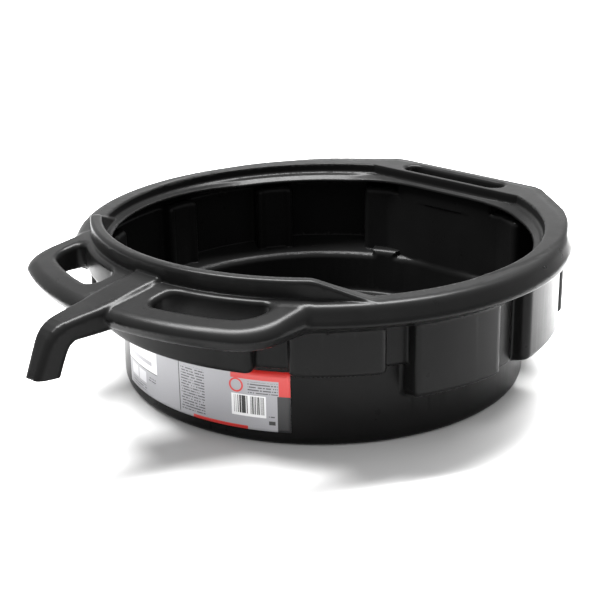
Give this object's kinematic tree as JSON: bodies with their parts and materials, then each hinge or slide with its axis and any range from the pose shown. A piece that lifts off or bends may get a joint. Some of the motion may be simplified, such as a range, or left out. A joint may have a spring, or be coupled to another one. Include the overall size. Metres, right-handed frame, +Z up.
{
  "type": "oil drain pan",
  "caption": "Low round black plastic drain pan with a hollow rim, splash guard, long narrow pouring spout between the front handles, and a rear grip.",
  "frame": {"origin": "centre of the round face that the pan stands on", "axes": "+Z up along the bowl's axis, +Y towards the rear grip, so the spout points to -Y and the pan is mirror-symmetric about X = 0"},
  "size_m": [0.47, 0.571, 0.159],
  "materials": {
    "pan_plastic": "black high-density polyethylene, satin, straight from the mould",
    "label_film": "printed film label, smooth"
  },
  "bodies": {
    "root": {"sump_floor": "pan_plastic", "sump_front": "pan_plastic", "sump_right": "pan_plastic", "sump_left": "pan_plastic", "wall_front": "pan_plastic", "wall_front_right": "pan_plastic", "wall_front_left": "pan_plastic", "wall_right": "pan_plastic", "wall_left": "pan_plastic", "wall_rear_right": "pan_plastic", "wall_rear_left": "pan_plastic", "rim_front": "pan_plastic", "rim_right": "pan_plastic", "rim_left": "pan_plastic", "lip_front": "pan_plastic", "lip_right": "pan_plastic", "lip_left": "pan_plastic", "splash_guard": "pan_plastic", "left_handle": "pan_plastic", "right_handle": "pan_plastic", "rear_grip": "pan_plastic", "spout": "pan_plastic", "label": "label_film"}
  },
  "joints": []
}
